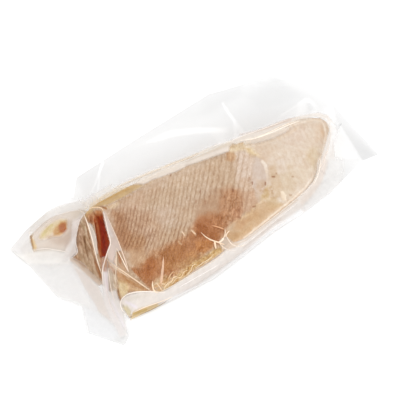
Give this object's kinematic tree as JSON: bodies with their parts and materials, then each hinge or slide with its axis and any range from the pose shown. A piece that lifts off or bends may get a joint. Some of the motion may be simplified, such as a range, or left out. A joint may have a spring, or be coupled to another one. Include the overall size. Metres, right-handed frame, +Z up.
{
  "type": "vacuum packed tuna loin",
  "caption": "Skinless albacore tuna loin, a long tapering wedge of pale ribbed flesh with a slanted cut end, sealed in a clear vacuum bag with loose wavy flaps.",
  "frame": {"origin": "on the table under the middle of the bag's bounding box", "axes": "+X along the loin from its thick cut end to its thin end, +Y across it towards its high back edge, +Z up"},
  "size_m": [0.4727, 0.205, 0.0548],
  "materials": {
    "film": "clear glossy film drawn tight over the fish, hazy where two layers lie together in the flaps",
    "flesh": "moist pale tan tuna flesh with orange-brown dark meat and cream fascia"
  },
  "bodies": {
    "root": {"sealed_bag": "film"}
  },
  "joints": []
}
